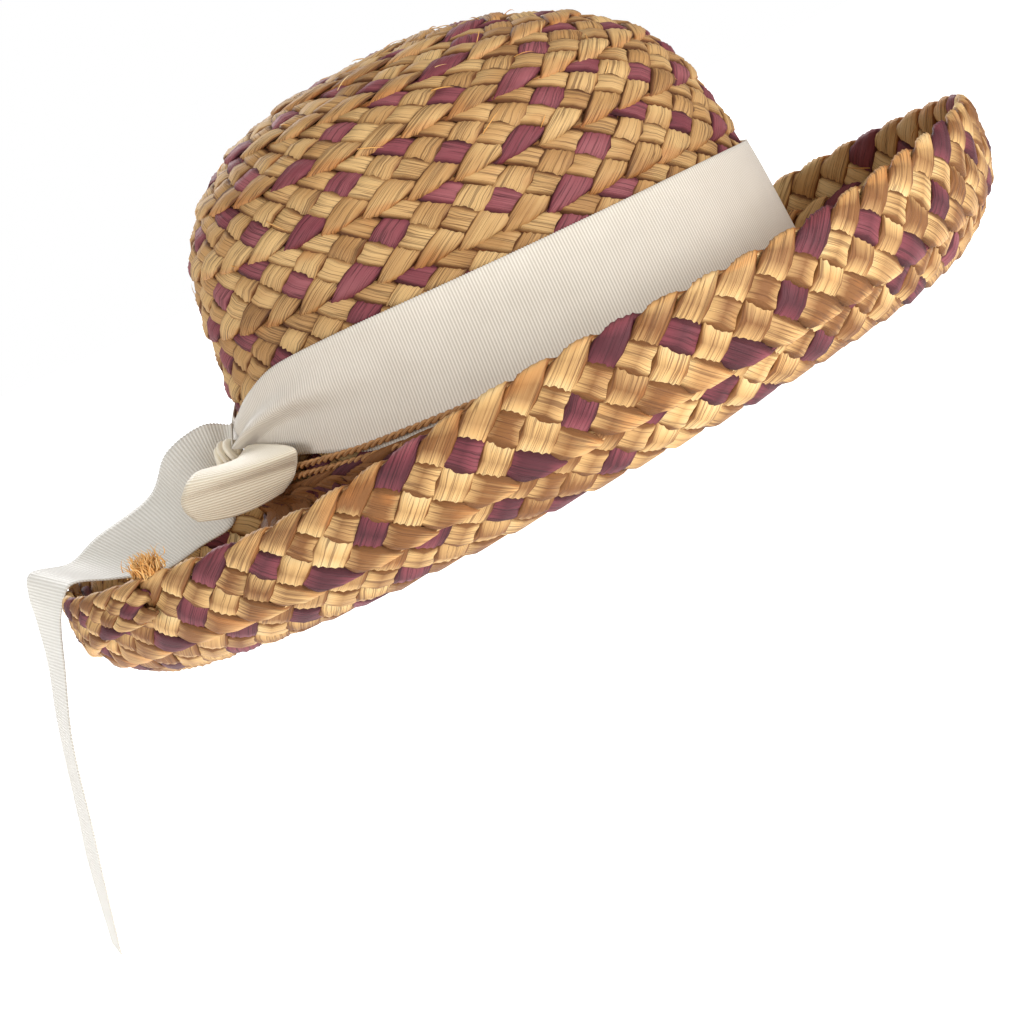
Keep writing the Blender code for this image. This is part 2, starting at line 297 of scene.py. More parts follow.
@dataclass(frozen=True)
class Plait:
    """A flat plait of five raffia strands, each folded over at both edges.

    Args:
        width: Width of the plait.
        fold_spacing: Distance between two folds on one edge.
        strands: How many strands there are.
        strand_width: Width of a strand between its folds.
        pinch: Share of its width that a strand loses at a fold.
        pinch_reach: Crossings over which a strand is narrower.
        lift: Height of a strand's middle over or under the plait's.
        thickness: Thickness of a strand at its middle.
        edge_thickness: Thickness of a strand at its edges.
        fold_radius: Radius of a fold, seen from above.
        pleat: Height of the ridges along a strand.
        uneven_width: Share by which a strand's width wanders.
        uneven_place: Distance by which a strand wanders sideways.
        under_shade: Painted shade: how much darker a strand is where it passes under.
        edge_shade: Painted shade: how much darker a strand is at its edges.
        coloured: Which strand is the coloured one.
    """

    width: float = 0.029
    fold_spacing: float = 0.016
    strands: int = 5
    strand_width: float = 0.0106
    pinch: float = 0.33
    pinch_reach: float = 0.42
    lift: float = 0.00135
    thickness: float = 0.0025
    edge_thickness: float = 0.0005
    fold_radius: float = 0.0009
    pleat: float = 0.00026
    uneven_width: float = 0.12
    uneven_place: float = 0.0005
    under_shade: float = 0.55
    edge_shade: float = 0.95
    coloured: int = 2

    STATIONS = (0.0, 0.12, 0.3, 0.62, 1.0, 1.32, 1.66, 2.0, 2.33, 2.67,
                3.0, 3.34, 3.68, 4.0, 4.38, 4.7, 4.88)
    ACROSS_TOP = np.array([-1.0, -0.84, -0.66, -0.46, -0.24, 0.0, 0.24, 0.46, 0.66, 0.84, 1.0])
    ACROSS_BACK = np.array([0.6, -0.6])

    @property
    def lean(self) -> float:
        """Angle between a strand and the plait's length."""
        return math.atan2(self.width, self.strands / 2 * self.fold_spacing)

    def level(self, crossing: np.ndarray) -> np.ndarray:
        """Height of a strand from -1 under to 1 over, by crossings since a fold."""
        place = crossing % self.strands
        middle = np.cos(math.pi * (place - 1))
        rise = np.sin(math.pi / 2 * place)
        fall = np.sin(math.pi / 2 * (place - self.strands))
        return np.where(place < 1, rise, np.where(place > self.strands - 1, fall, middle))

    def fold(self, across: np.ndarray) -> tuple:
        """Fold the unrolled plane over at both edges of the plait.

        Args:
            across: Distance from the first edge in the unrolled plane.

        Returns:
            The distance across the plait and its rate of change.
        """
        wave = across % (2 * self.width) - self.width
        near_top, near_foot = np.abs(wave), self.width - np.abs(wave)
        radius = self.fold_radius
        top, foot = np.hypot(near_top, radius), np.hypot(near_foot, radius)
        upper = near_top < near_foot
        place = np.where(upper, self.width - top + radius / 2, foot - radius / 2)
        rate = np.where(upper, near_top / top, near_foot / foot) * -np.sign(wave)
        return place, rate

    def strand(self, number: int, length: float, seed: int) -> tuple:
        """One strand of a plait of some length, as closed rings of points.

        Args:
            number: Which strand, from 0.
            length: Length of the plait.
            seed: Number that picks the strand's small unevenness.

        Returns:
            Points (along, across, out) ring by ring, their pattern coordinates
            in metres and, by name, their tone with painted shade and how near a fold they are.
        """
        lean_sin, lean_cos = math.sin(self.lean), math.cos(self.lean)
        crossing_step = self.width / self.strands / lean_sin
        start = number * self.fold_spacing
        low, high = -start / lean_cos / crossing_step, (length - start) / lean_cos / crossing_step
        cycles = np.arange(math.floor(low / self.strands), math.ceil(high / self.strands) + 1)
        crossing = (cycles[:, None] * self.strands + np.array(self.STATIONS)).ravel()
        crossing = crossing[(crossing >= low) & (crossing <= high)]
        run = crossing * crossing_step

        top, back = self.ACROSS_TOP, self.ACROSS_BACK
        across = np.concatenate([top, back, top[:1]])
        crown = self.edge_thickness + (self.thickness - self.edge_thickness) * (
            1 - across ** 2) ** 0.62
        face = np.concatenate([np.ones(len(top)), -np.ones(len(back)), [1.0]])
        face[[0, len(top) - 1, -1]] = 0.0
        out = np.tile(face * crown / 2, (len(run), 1))
        ripple = wander(seed, run, 0.012, len(across))
        ridge = np.where(np.arange(len(across)) % 2 == 1, 1.0, -1.0) * np.abs(face)
        out += face * ridge * self.pleat * (0.65 + 0.6 * ripple)

        uneven = wander(seed + 1, run, 0.014, 4)
        level = self.level(crossing)
        place = crossing % self.strands
        near = np.minimum(place, self.strands - place)
        drawn_in = 1 - self.pinch * np.exp(-(near / self.pinch_reach) ** 2)
        half = self.strand_width / 2 * drawn_in * (1 + self.uneven_width * uneven[:, 0])
        ends = np.minimum(run - run[0], run[-1] - run)
        close = soft_step(ends / 0.004)
        half, out = half * close, out * close[:, None]
        aside = across[None, :] * half[:, None] + self.uneven_place * uneven[:, 1:2]

        cross_skew, fold_skew = 1 / math.tan(2 * self.lean), 1 / math.tan(self.lean)
        skew = cross_skew + (fold_skew - cross_skew) * soft_step(1 - near)
        reach = run[:, None] - skew[:, None] * aside
        along = start + reach * lean_cos - aside * lean_sin
        unrolled = reach * lean_sin + aside * lean_cos
        over, _ = self.fold(unrolled)
        _, rate = self.fold(run * lean_sin)
        height = self.lift * (level + 0.1 * uneven[:, 2])
        slope = np.gradient(height, run)

        ahead = np.stack([np.full_like(run, lean_cos), lean_sin * rate, slope], axis=-1)
        sideways = np.stack([-lean_sin - skew * lean_cos,
                             (lean_cos - skew * lean_sin) * rate, np.zeros_like(run)], axis=-1)
        normal = np.cross(ahead, sideways)
        normal /= np.linalg.norm(normal, axis=-1, keepdims=True)
        points = np.stack([along, over, np.tile(height[:, None], (1, len(across)))], axis=-1)
        points = points + normal[:, None, :] * out[:, :, None]
        tone_and_shade = 0.6 + 0.24 * wander(seed + 2, run, 0.011, 1) + 0.14 * uneven[:, 3:4]
        # Painted shade: darker where a strand passes under the next and at its edges, in the
        # crevices between strands.
        tone_and_shade = tone_and_shade - self.under_shade * soft_step(-level)[:, None]
        tone_and_shade = tone_and_shade - self.edge_shade * np.abs(across) ** 8
        fold = np.tile(np.exp(-(near[:, None] / 0.55) ** 2), (1, len(across)))
        pattern = np.stack([
            np.tile(run[:, None], (1, len(across))) + 0.37 * number,
            aside + np.where(face < 0, 0.03, 0.0) + 0.07 * number], axis=-1)
        return points, pattern, {"tone_and_shade": tone_and_shade, "fold": fold}


def mapped_grid(name: str, points: np.ndarray, pattern: np.ndarray,
                shades: dict | None = None, close: bool = True) -> bpy.types.Object:
    """Add a grid and move its points to a grid of places.

    Args:
        name: Name of the new object.
        points: Places, row by row.
        pattern: Pattern coordinates, row by row.
        shades: Values of each point by the name of the attribute that keeps them.
        close: Whether to join points that meet and turn the faces outwards.

    Returns:
        The new object, smooth shaded.
    """
    rows, columns = points.shape[0] - 1, points.shape[1] - 1
    bpy.ops.object.select_all(action="DESELECT")
    bpy.ops.mesh.primitive_grid_add(x_subdivisions=columns, y_subdivisions=rows, size=2.0)
    piece = bpy.context.object
    piece.name = piece.data.name = name
    mesh = piece.data
    flat = np.empty(len(mesh.vertices) * 3)
    mesh.vertices.foreach_get("co", flat)
    flat = flat.reshape(-1, 3)
    column = np.rint((flat[:, 0] + 1) / 2 * columns).astype(int)
    row = np.rint((flat[:, 1] + 1) / 2 * rows).astype(int)
    mesh.vertices.foreach_set("co", points[row, column].ravel())
    corners = np.empty(len(mesh.loops), dtype=np.int32)
    mesh.loops.foreach_get("vertex_index", corners)
    mesh.uv_layers[0].data.foreach_set("uv", pattern[row[corners], column[corners]].ravel())
    for key, values in (shades or {}).items():
        mesh.attributes.new(key, "FLOAT", "POINT").data.foreach_set("value", values[row, column])
    if close:
        bpy.ops.object.mode_set(mode="EDIT")
        bpy.ops.mesh.select_all(action="SELECT")
        bpy.ops.mesh.remove_doubles(threshold=1e-6)
        bpy.ops.mesh.normals_make_consistent(inside=False)
        bpy.ops.object.mode_set(mode="OBJECT")
    bpy.ops.object.shade_smooth()
    return piece


def join_pieces(name: str, parts: list) -> bpy.types.Object:
    """Join objects into one piece."""
    bpy.ops.object.select_all(action="DESELECT")
    for part in parts:
        part.select_set(True)
    bpy.context.view_layer.objects.active = parts[0]
    if len(parts) > 1:
        bpy.ops.object.join()
    piece = bpy.context.view_layer.objects.active
    piece.name = piece.data.name = name
    return piece


def give_wall(piece: bpy.types.Object, thickness: float) -> None:
    """Turn a sheet into a wall that grows to both sides of it."""
    bpy.ops.object.select_all(action="DESELECT")
    piece.select_set(True)
    bpy.context.view_layer.objects.active = piece
    wall = piece.modifiers.new("wall", "SOLIDIFY")
    wall.thickness, wall.offset, wall.use_even_offset = thickness, 0.0, True
    bpy.ops.object.modifier_apply(modifier=wall.name)


def settle(piece: bpy.types.Object, material: bpy.types.Material, slot: str,
           *nodes: str) -> None:
    """Give a piece its finish and its body, and hide the solids that it stands for."""
    piece.data.materials.clear()
    piece.data.materials.append(material)
    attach(piece, BODY)
    if nodes:
        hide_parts(*nodes)
    LOG.info("%s: %d faces", piece.name, len(piece.data.polygons))


def rings(core: np.ndarray, wide: object, across: np.ndarray, above: np.ndarray,
          corners: int) -> tuple:
    """Closed rings of points round a line.

    Args:
        core: Points of the line.
        wide: Radius, or one radius for each point.
        across: First direction of the rings.
        above: Second direction of the rings.
        corners: How many corners a ring has.

    Returns:
        The points and the angles of the corners.
    """
    ring = np.linspace(0, 2 * math.pi, corners + 1)
    return core[:, None, :] + wide * (
        np.cos(ring)[None, :, None] * across + np.sin(ring)[None, :, None] * above), ring


def srgb(red: float, green: float, blue: float) -> tuple:
    """A screen colour from 0 to 255 as the shader takes it."""
    def linear(value: float) -> float:
        """One channel."""
        value /= 255
        return value / 12.92 if value <= 0.04045 else ((value + 0.055) / 1.055) ** 2.4
    return (linear(red), linear(green), linear(blue), 1.0)


class Shader:
    """A node material that is wired up step by step."""

    def __init__(self, name: str) -> None:
        """Start a material with its surface shader."""
        self.material = bpy.data.materials.new(name)
        self.material.use_nodes = True
        self.tree = self.material.node_tree
        self.surface = self.tree.nodes["Principled BSDF"]

    def add(self, kind: str, **settings: object) -> bpy.types.Node:
        """Add a node and set its properties."""
        node = self.tree.nodes.new(kind)
        for key, value in settings.items():
            setattr(node, key, value)
        return node

    def join(self, output: object, target: object) -> None:
        """Link an output to an input."""
        self.tree.links.new(output, target)

    def math(self, kind: str, first: object, second: object = 0.0) -> object:
        """Work out a number from two outputs or values."""
        node = self.add("ShaderNodeMath", operation=kind)
        for socket, value in zip(node.inputs, (first, second)):
            if isinstance(value, (int, float)):
                socket.default_value = value
            else:
                self.join(value, socket)
        return node.outputs[0]

    def plus(self, base: object, extra: object, share: float) -> object:
        """Add a share of one number to another."""
        return self.math("ADD", base, self.math("MULTIPLY", extra, share))

    def stretched(self, output: object, scale: tuple) -> object:
        """Stretch pattern coordinates."""
        node = self.add("ShaderNodeMapping")
        node.inputs["Scale"].default_value = scale
        self.join(output, node.inputs["Vector"])
        return node.outputs[0]

    def noise(self, vector: object, scale: float, detail: float, rough: float = 0.5) -> object:
        """Noise from 0 to 1 at some coordinates."""
        node = self.add("ShaderNodeTexNoise")
        for key, value in (("Scale", scale), ("Detail", detail), ("Roughness", rough)):
            node.inputs[key].default_value = value
        self.join(vector, node.inputs["Vector"])
        return node.outputs["Fac"]

    def ramp(self, factor: object, stops: tuple) -> object:
        """Colours by a factor."""
        node = self.add("ShaderNodeValToRGB")
        elements = node.color_ramp.elements
        while len(elements) < len(stops):
            elements.new(0.5)
        for element, (place, colour) in zip(elements, stops):
            element.position, element.color = place, colour
        self.join(factor, node.inputs["Fac"])
        return node.outputs["Color"]

    def mix(self, factor: object, first: object, second: object) -> object:
        """Mix two colours."""
        node = self.add("ShaderNodeMix", data_type="RGBA")
        for socket, value in ((node.inputs[0], factor), (node.inputs[6], first),
                              (node.inputs[7], second)):
            if isinstance(value, (int, float, tuple)):
                socket.default_value = value
            else:
                self.join(value, socket)
        return node.outputs[2]

    def bump(self, height: object, strength: float, distance: float) -> None:
        """Raise the surface by a height."""
        node = self.add("ShaderNodeBump")
        node.inputs["Strength"].default_value = strength
        node.inputs["Distance"].default_value = distance
        self.join(height, node.inputs["Height"])
        self.join(node.outputs["Normal"], self.surface.inputs["Normal"])


@dataclass(frozen=True)
class RaffiaFinish:
    """Raffia: fine fibres along the strand, darker creases and an uneven tone, each partly painted
    shade.
    """

    name: str
    crease: tuple
    dark: tuple
    middle: tuple
    light: tuple
    stain: tuple
    roughness: float = 0.62
    fibre_share: float = 0.26
    fold_share: float = 0.26
    stain_share: float = 0.5
    crease_shade_share: float = 0.62

    def build(self) -> bpy.types.Material:
        """Wire up the material."""
        shader = Shader(self.name)
        place = shader.add("ShaderNodeUVMap").outputs["UV"]
        tone_and_shade = shader.add("ShaderNodeAttribute", attribute_name="tone_and_shade").outputs["Fac"]
        fold = shader.add("ShaderNodeAttribute", attribute_name="fold").outputs["Fac"]
        fine = shader.noise(shader.stretched(place, (70, 3400, 1)), 1.0, 4.0, 0.6)
        broad = shader.noise(shader.stretched(place, (45, 800, 1)), 1.0, 2.0)
        cracks = shader.noise(shader.stretched(place, (16, 900, 1)), 1.0, 1.5)
        patch = shader.noise(shader.stretched(place, (60, 60, 1)), 1.0, 2.0)
        shade = shader.math("MULTIPLY", tone_and_shade, 0.7)
        shade = shader.plus(shade, broad, self.fibre_share)
        shade = shader.plus(shade, fine, self.fibre_share)
        shade = shader.math("SUBTRACT", shade, 0.12)
        colour = shader.ramp(shade, ((0.1, self.dark), (0.42, self.middle), (0.72, self.light)))
        stain_and_shade = shader.plus(patch, fold, self.fold_share)
        stained = shader.ramp(stain_and_shade, ((0.62, (0, 0, 0, 1)), (0.82, (1, 1, 1, 1))))
        stained = shader.math("MULTIPLY", stained, self.stain_share)
        colour = shader.mix(stained, colour, self.stain)
        # Dark lines along each strand: partly the raffia's own fibre lines, partly painted shade
        # in its fine pleats.
        crack = shader.math("ABSOLUTE", shader.math("SUBTRACT", cracks, 0.5))
        line = shader.ramp(crack, ((0.006, (1, 1, 1, 1)), (0.032, (0, 0, 0, 1))))
        crease_shade_mask = shader.math("MULTIPLY", line, self.crease_shade_share)
        colour = shader.mix(crease_shade_mask, colour, self.crease)
        shader.join(colour, shader.surface.inputs["Base Color"])
        shader.surface.inputs["Roughness"].default_value = self.roughness
        shader.surface.inputs["Specular IOR Level"].default_value = 0.35
        height = shader.plus(shader.math("MULTIPLY", fine, 0.5), broad, 0.8)
        height = shader.math("SUBTRACT", height, shader.math("MULTIPLY", line, 0.6))
        shader.bump(height, 0.55, 0.0004)
        return shader.material


@dataclass(frozen=True)
class RibbonFinish:
    """Grosgrain: ribs across the ribbon, counted by the pattern's first coordinate."""

    name: str = "ribbon_grosgrain"
    light: tuple = srgb(238, 231, 219)
    dark: tuple = srgb(186, 173, 156)
    roughness: float = 0.5
    sheen: float = 0.35

    def build(self) -> bpy.types.Material:
        """Wire up the material."""
        shader = Shader(self.name)
        place = shader.add("ShaderNodeUVMap").outputs["UV"]
        split = shader.add("ShaderNodeSeparateXYZ")
        shader.join(place, split.inputs[0])
        wave = shader.math("SINE", shader.math("MULTIPLY", split.outputs["X"], 2 * math.pi))
        rib = shader.math("ADD", shader.math("MULTIPLY", wave, 0.5), 0.5)
        thread = shader.noise(shader.stretched(place, (9.0, 2600, 1)), 1.0, 2.0)
        cloud = shader.noise(shader.stretched(place, (0.05, 60, 1)), 1.0, 2.0)
        shade = shader.plus(shader.math("MULTIPLY", rib, 0.42), thread, 0.3)
        shade = shader.plus(shade, cloud, 0.2)
        colour = shader.ramp(shade, ((0.1, self.dark), (0.75, self.light)))
        shader.join(colour, shader.surface.inputs["Base Color"])
        shader.surface.inputs["Roughness"].default_value = self.roughness
        shader.surface.inputs["Sheen Weight"].default_value = self.sheen
        shader.surface.inputs["Specular IOR Level"].default_value = 0.3
        shader.bump(shader.plus(rib, thread, 0.3), 0.45, 0.0003)
        return shader.material


@dataclass(frozen=True)
class CordFinish:
    """Twisted cord: fibres along each ply."""

    name: str = "cord_twist"
    dark: tuple = srgb(84, 46, 22)
    light: tuple = srgb(206, 152, 96)

    def build(self) -> bpy.types.Material:
        """Wire up the material."""
        shader = Shader(self.name)
        place = shader.add("ShaderNodeUVMap").outputs["UV"]
        fibre = shader.noise(shader.stretched(place, (160, 3000, 1)), 1.0, 3.0)
        colour = shader.ramp(fibre, ((0.25, self.dark), (0.7, self.light)))
        shader.join(colour, shader.surface.inputs["Base Color"])
        shader.surface.inputs["Roughness"].default_value = 0.7
        shader.bump(fibre, 0.5, 0.0003)
        return shader.material


@dataclass
class PlaitedFace:
    """A crown or brim made of one plait that winds over its face.

    Args:
        name: What the pieces' names begin with.
        node: Solid that they stand for.
        course: The plait's way.
        sink: Distance of the plait's middle from the solid's face.
        tuck: How far both ends of the plait go under the row that they meet.
        tilt: Height by which each edge of a row passes over or under the next.
        cover: Rows that the plait's width covers, above 1 where rows overlap.
        drawn_in: Whether the plait is narrow where it starts and where it ends.
        seed: Number that picks the small unevenness.
        stain_and_shade: Painted shade: how much darker the first rows are, for the shade in the
            gutter by the crown.
        shaded_rows: Row where the painted shade ends.
        least: Rows that the plait's width covers at its very start.
        end_turns: Turns before its end in which the plait is drawn in.
        end_share: Share of its width that the plait loses at its end.
    """

    name: str
    node: str
    course: Course
    sink: float
    tuck: float
    tilt: float
    cover: float
    drawn_in: bool
    seed: int
    stain_and_shade: float = 0.0
    shaded_rows: float = 1.6
    least: float = 0.28
    end_turns: float = 0.16
    end_share: float = 0.5
    plait: Plait = field(default_factory=Plait)

    def lay(self, points: np.ndarray) -> np.ndarray:
        """Move a strand from the plait's own plane onto the hat."""
        along, across, out = np.moveaxis(points, -1, 0)
        turn, middle, left = self.course.at(along)
        face = self.course.face
        share = across / self.plait.width - 0.5
        spread = self.cover
        begun = self.course.turns - left
        sink = self.sink - self.tuck * (1 - soft_step(begun) + soft_step(1 - left))
        if self.drawn_in:
            inner = middle - spread / 2
            spread = np.clip(begun + self.least, self.least, spread)
            outer = inner + spread
            spread = spread * (1 - self.end_share * soft_step(1 - left / self.end_turns))
            middle = outer - spread / 2
        row = middle - share * spread
        return face.stand(turn, row, sink + out - 2 * self.tilt * share)

    def build(self, natural: bpy.types.Material, coloured: bpy.types.Material) -> None:
        """Make the plait's strands and dress them.

        Args:
            natural: Finish of four strands.
            coloured: Finish of the coloured strand.
        """
        made = {True: [], False: []}
        for number in range(self.plait.strands):
            points, pattern, shades = self.plait.strand(
                number, self.course.length, self.seed + 10 * number)
            _, middle, _ = self.course.at(points[..., 0])
            # Painted shade: the straw is darker in the first rows, standing in for the shade in
            # the gutter by the crown.
            shades["tone_and_shade"] = shades["tone_and_shade"] - self.stain_and_shade * soft_step(self.shaded_rows - middle)
            strand = mapped_grid(f"strand_{number}", self.lay(points), pattern, shades)
            made[number == self.plait.coloured].append(strand)
        settle(join_pieces(f"{self.name}_plait_natural", made[False]), natural, "straw",
               self.node)
        settle(join_pieces(f"{self.name}_plait_maroon", made[True]), coloured, "straw",
               self.node)


@dataclass
class Ribbon:
    """The ribbon's sizes and how a strip of it is made."""

    width: float = 0.046
    rib: float = 0.00114
    wall: float = 0.0006
    scallop: float = 0.00018
    foot: float = 0.0035
    across: int = 22

    def strip(self, name: str, place: object, length: float, closed: bool) -> bpy.types.Object:
        """Make a strip whose ribs follow its real length.

        Args:
            name: Name of the piece.
            place: Function of across and along, from 0 to 1, that gives the points.
            length: Rough length, for the number of ribs.
            closed: Whether the strip's ends meet.

        Returns:
            The strip with its wall.
        """
        rows = 2 * round(length / self.rib)
        across, along = np.meshgrid(np.linspace(0, 1, self.across + 1),
                                    np.linspace(0, 1, rows + 1))
        points = place(across, along)
        steps = np.linalg.norm(np.diff(points, axis=0), axis=2).mean(axis=1)
        walked = np.concatenate([[0.0], np.cumsum(steps)])
        even = np.interp(np.linspace(0, walked[-1], rows + 1), walked, np.linspace(0, 1, rows + 1))
        points = place(across, np.tile(even[:, None], (1, self.across + 1)))
        beat = self.scallop * np.where(np.arange(rows + 1) % 2 == 0, 1.0, -1.0)[:, None]
        for edge, inner in ((0, 1), (-1, -2)):
            way = points[:, edge] - points[:, inner]
            way /= np.linalg.norm(way, axis=1, keepdims=True)
            points[:, edge] += way * beat
        ribs = np.tile(np.arange(rows + 1)[:, None] / 2, (1, self.across + 1))
        wide = np.linalg.norm(np.diff(points, axis=1), axis=2).mean() * self.across
        pattern = np.stack([ribs, across * wide], axis=-1)
        piece = mapped_grid(name, points, pattern, close=closed)
        give_wall(piece, self.wall)
        self.measured = (float(wide), float(walked[-1]))
        return piece


@dataclass
class RibbonBand:
    """The ribbon round the crown, gathered into folds at the knot."""

    crown: CrownFace
    ribbon: Ribbon
    knot_angle: float = 184.0
    out: float = 0.0013
    length: float = 0.625
    edges: tuple = (
        (0, 0.27, 0.62), (12, 0.28, 0.69), (22, 0.29, 0.82), (33, 0.26, 0.94), (44, 0.16, 0.98),
        (60, 0.01, 1.00), (90, 0.00, 1.00), (135, 0.00, 0.98), (180, 0.00, 0.93),
    )
    # Folds from the foot up: place on the ribbon at the knot and at their end,
    # half width as a share of the ribbon, height in metres, end in degrees.
    folds: tuple = (
        (0.12, 0.12, 0.14, 0.0022, 44), (0.48, 0.66, 0.085, 0.0058, 60),
        (0.33, 0.46, 0.08, -0.0012, 66), (0.80, 0.84, 0.20, 0.0026, 40),
    )

    def edge(self, away: np.ndarray) -> tuple:
        """The band's lower and upper edge by degrees from the knot."""
        table = np.array(self.edges)
        place = np.interp(away, table[:, 0], np.arange(len(table)))
        row = blend_rows(table[:, 1:], place)
        return row[..., 0], row[..., 1]

    def fold_height(self, away: np.ndarray, up: np.ndarray) -> np.ndarray:
        """How far the folds stand out from the crown."""
        total = np.zeros_like(away)
        for start, end, half, high, reach in self.folds:
            run = np.clip(away / reach, 0, 1)
            ridge = np.exp(-((up - start - (end - start) * run) / (half * (0.8 + 0.9 * run))) ** 2)
            total += high * ridge * soft_step((1 - run) * 1.3) * soft_step(away / 7 - 0.4)
        return total

    def place(self, up: np.ndarray, around: np.ndarray) -> np.ndarray:
        """Points of the band."""
        angle = 360 * around + self.knot_angle
        away = np.abs((360 * around + 180) % 360 - 180)
        foot, top = self.edge(away)
        height = self.ribbon.foot + self.ribbon.width * (foot + (top - foot) * up)
        return self.crown.outside(angle, height, self.out + self.fold_height(away, up))

    def build(self, finish: bpy.types.Material) -> None:
        """Make the band and dress it."""
        piece = self.ribbon.strip("ribbon_band_cloth", self.place, self.length, closed=True)
        settle(piece, finish, "ribbon", "ribbon_band")


@dataclass
class Bow:
    """The knot at the back with the ribbon's two ends."""

    crown: CrownFace
    brim: BrimFace
    band: RibbonBand
    ribbon: Ribbon
    clearance: float = 0.0003
    solid_wall: float = 0.001
    knot_size: tuple = (0.0135, 0.0115, 0.0125)
    knot_drop: float = 0.0022
    wrap_slant: float = -20.0
    wrap_turn: float = 0.45
    wrap_pitch: float = 0.003
    wrap_bow: float = 24.0
    wrap_foot: float = 0.66
    wrap_relief: float = 0.45
    flap_length: float = 0.062
    tail_length: float = 0.23
    tail_drop: float = 0.128
    flap_rows: tuple = (
        (19.5, 0.095, 0.456, 9.5, 0.113, 0.370, 0.00),
        (25.9, 0.100, 0.441, 15.0, 0.230, 0.378, 0.00),
        (33.0, 0.113, 0.397, 19.5, 0.432, 0.427, -0.01),
        (38.3, 0.148, 0.354, 22.0, 0.596, 0.451, -0.02),
        (40.6, 0.176, 0.313, 23.0, 0.708, 0.416, -0.02),
        (39.6, 0.156, 0.258, 22.5, 0.757, 0.360, -0.01),
        (37.8, 0.125, 0.206, 21.5, 0.778, 0.300, 0.00),
        (36.2, 0.135, 0.130, 21.5, 0.766, 0.208, -0.02),
        (32.8, 0.180, 0.053, 22.5, 0.711, 0.110, -0.05),
    )
    tail_rows: tuple = (
        (-0.260, 0.050, 0.430, -0.270, 0.000, 0.640, 0.000, 0.000),
        (-0.014, 0.068, 0.400, 0.022, 0.019, 0.620, 0.000, 0.000),
        (-0.100, 0.146, 0.140, 0.050, 0.143, 0.707, 0.000, 0.000),
        (-0.406, 0.178, -0.065, 0.159, 0.352, 0.620, 0.000, 0.000),
        (-0.385, 0.359, -0.120, 0.420, 0.526, 0.348, 0.000, 0.000),
        (-0.320, 0.578, -0.174, 0.507, 0.836, 0.228, 0.000, 0.000),
        (-0.254, 0.797, -0.076, 0.615, 1.017, 0.120, 0.000, 0.000),
        (-0.211, 0.985, 0.024, 0.702, 1.210, 0.174, 0.000, 0.000),
        (-0.167, 1.075, -0.098, 0.746, 1.268, 0.011, 0.000, 0.000),
        (-0.102, 1.133, -0.076, 0.811, 1.292, -0.076, 0.066, 0.047),
        (-0.146, 1.197, -0.076, 0.789, 1.330, -0.076, 0.176, 0.172),
        (-0.189, 1.281, -0.076, 0.767, 1.395, -0.076, 0.316, 0.305),
        (-0.189, 1.333, -0.076, 0.789, 1.445, -0.076, 0.426, 0.418),
        (-0.167, 1.404, -0.076, 0.811, 1.525, -0.076, 0.625, 0.625),
        (-0.124, 1.462, -0.076, 0.854, 1.583, -0.076, 0.766, 0.766),
        (-0.080, 1.546, -0.076, 0.876, 1.647, -0.076, 0.988, 1.000),
    )

    def knot_middle(self) -> np.ndarray:
        """The knot's middle."""
        _, foot, top = self.band.edges[0]
        height = self.ribbon.foot + self.ribbon.width * (foot + top) / 2 - self.knot_drop
        out = 2 * self.clearance + self.solid_wall + self.knot_size[1] / 2
        return self.crown.outside(self.band.knot_angle, np.array(height), np.array(out))

    def place_flap(self, across: np.ndarray, along: np.ndarray) -> np.ndarray:
        """Points of the short end, which rolls over beside the knot."""
        rows = np.array(self.flap_rows)
        row = np.moveaxis(blend_rows(rows, along * (len(rows) - 1)), -1, 0)
        front, front_out, front_height, back, back_out, back_height, bulge = row
        height = front_height + (back_height - front_height) * across
        height = height + bulge * np.sin(math.pi * across)
        out = front_out + (back_out - front_out) * across
        edge = self.ribbon.foot + self.ribbon.width * height
        return self.crown.outside(180 + front + (back - front) * across, edge,
                                  self.ribbon.width * out)

    def place_tail(self, across: np.ndarray, along: np.ndarray) -> np.ndarray:
        """Points of the long end, over the brim and down."""
        rows = np.array(self.tail_rows)
        row = np.moveaxis(blend_rows(rows, along * (len(rows) - 1)), -1, 0)
        knot = self.knot_middle()
        end = knot[0] + self.knot_size[0] / 2 + self.clearance + self.solid_wall / 2
        start = knot[1] - self.knot_size[1] / 2
        rim = self.brim.raw(np.array(math.pi), np.array(1.0))[1]

        def edge(side: np.ndarray, out: np.ndarray, height: np.ndarray,
                 drop: np.ndarray) -> np.ndarray:
            """Points of one edge."""
            return np.stack([
                end + side * self.ribbon.width, start + out * (rim - start),
                self.ribbon.foot + height * self.ribbon.width - drop * self.tail_drop], axis=-1)
        near = edge(row[0], row[1], row[2], row[6])
        far = edge(row[3], row[4], row[5], row[7])
        return near + (far - near) * across[..., None]

    def shape_knot(self) -> tuple:
        """Points and pattern of the knot, whose wraps slant across it."""
        around, along = np.meshgrid(np.linspace(0, 2 * math.pi, 81), np.linspace(0, math.pi, 61))
        half = np.array(self.knot_size) / 2
        ball = np.stack([np.sin(along) * np.cos(around), np.cos(along),
                         np.sin(along) * np.sin(around)], axis=-1)
        place = ball * half
        slant = math.radians(self.wrap_slant)
        over = place[..., 1] * math.cos(slant) + place[..., 2] * math.sin(slant)
        down = place[..., 2] * math.cos(slant) - place[..., 1] * math.sin(slant)
        bowed = over - self.wrap_bow * down ** 2 + self.wrap_turn * place[..., 0]
        phase = bowed / self.wrap_pitch
        crease = np.abs(np.sin(math.pi * phase)) ** 0.55
        edge = np.sin(along) ** 0.3
        points = self.knot_middle() + place * (
            self.wrap_foot + self.wrap_relief * crease * edge)[..., None]
        return points, np.stack([np.full_like(over, 0.25), over], axis=-1)

